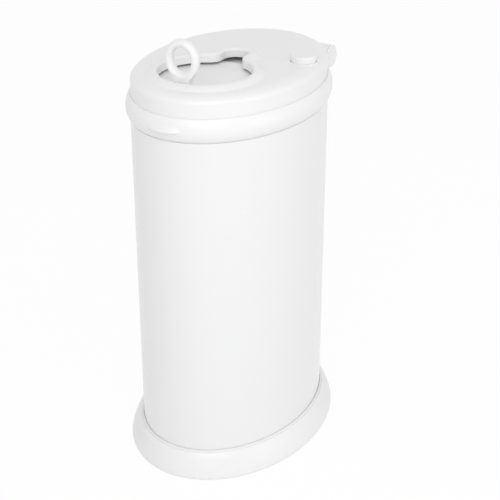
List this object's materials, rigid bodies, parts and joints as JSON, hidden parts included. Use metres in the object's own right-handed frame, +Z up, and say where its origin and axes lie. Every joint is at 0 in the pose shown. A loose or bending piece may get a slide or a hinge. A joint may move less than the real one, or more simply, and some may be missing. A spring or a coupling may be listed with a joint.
{
  "type": "nappy bin",
  "caption": "Tall oval nappy bin: steel tube on a moulded base, hinged lid with a sliding ring-pull door over a keyhole mouth and a push-button lock.",
  "frame": {"origin": "centre of the floor plate's underside, on the floor at the centre of the body's oval", "axes": "+Z up, -Y towards the front with the finger tab, +Y towards the hinge, +X to the right seen from the front"},
  "size_m": [0.259, 0.3532, 0.5769],
  "materials": {
    "coated_steel": "glossy white powder coat",
    "white_plastic": "smooth white moulding",
    "inner_plastic": "satin white moulding",
    "zinc_screw": "bright zinc",
    "seal_rubber": "soft grey"
  },
  "bodies": {
    "bin": {"base_shell": "white_plastic", "base_floor": "inner_plastic", "base_pan": "inner_plastic", "base_screw_1": "zinc_screw", "base_screw_2": "zinc_screw", "base_screw_3": "zinc_screw", "base_screw_4": "zinc_screw", "base_screw_5": "zinc_screw", "base_screw_6": "zinc_screw", "steel_body": "coated_steel", "body_rim": "inner_plastic", "bag_ring": "inner_plastic", "hinge_bracket": "white_plastic", "bracket_rivet_1": "zinc_screw", "bracket_rivet_2": "zinc_screw", "bracket_rivet_3": "zinc_screw", "bracket_rivet_4": "zinc_screw", "hinge_pin": "zinc_screw"},
    "lid": {"lid_frame": "white_plastic", "lid_cover": "white_plastic", "track_plate": "inner_plastic", "track_screw_1": "zinc_screw", "track_screw_2": "zinc_screw", "track_screw_3": "zinc_screw", "track_screw_4": "zinc_screw", "track_screw_5": "zinc_screw", "track_screw_6": "zinc_screw", "lid_gasket": "seal_rubber", "door_seal": "seal_rubber", "lock_spring": "zinc_screw", "hinge_cap_left": "white_plastic", "hinge_cap_right": "white_plastic"},
    "slider": {"slide_door": "white_plastic", "ring_handle": "white_plastic", "handle_screw_1": "zinc_screw", "handle_screw_2": "zinc_screw"},
    "lock": {"lock_button": "white_plastic", "lock_catch": "inner_plastic"}
  },
  "joints": [
    {"name": "lid_hinge", "type": "hinge", "parent": "bin", "child": "lid", "pos_m": [0, 0.167, 0.4877], "axis": [-1, 0, 0], "range_deg": [0, 100]},
    {"name": "door_slide", "type": "slide", "parent": "lid", "child": "slider", "axis": [0, 1, 0], "range_m": [0, 0.126]},
    {"name": "button_press", "type": "slide", "parent": "lid", "child": "lock", "axis": [0, 0, -1], "range_m": [0, 0.0035], "stiffness_N_per_m": 600, "springref_m": -0.002, "deforming": ["lock_spring"]}
  ]
}
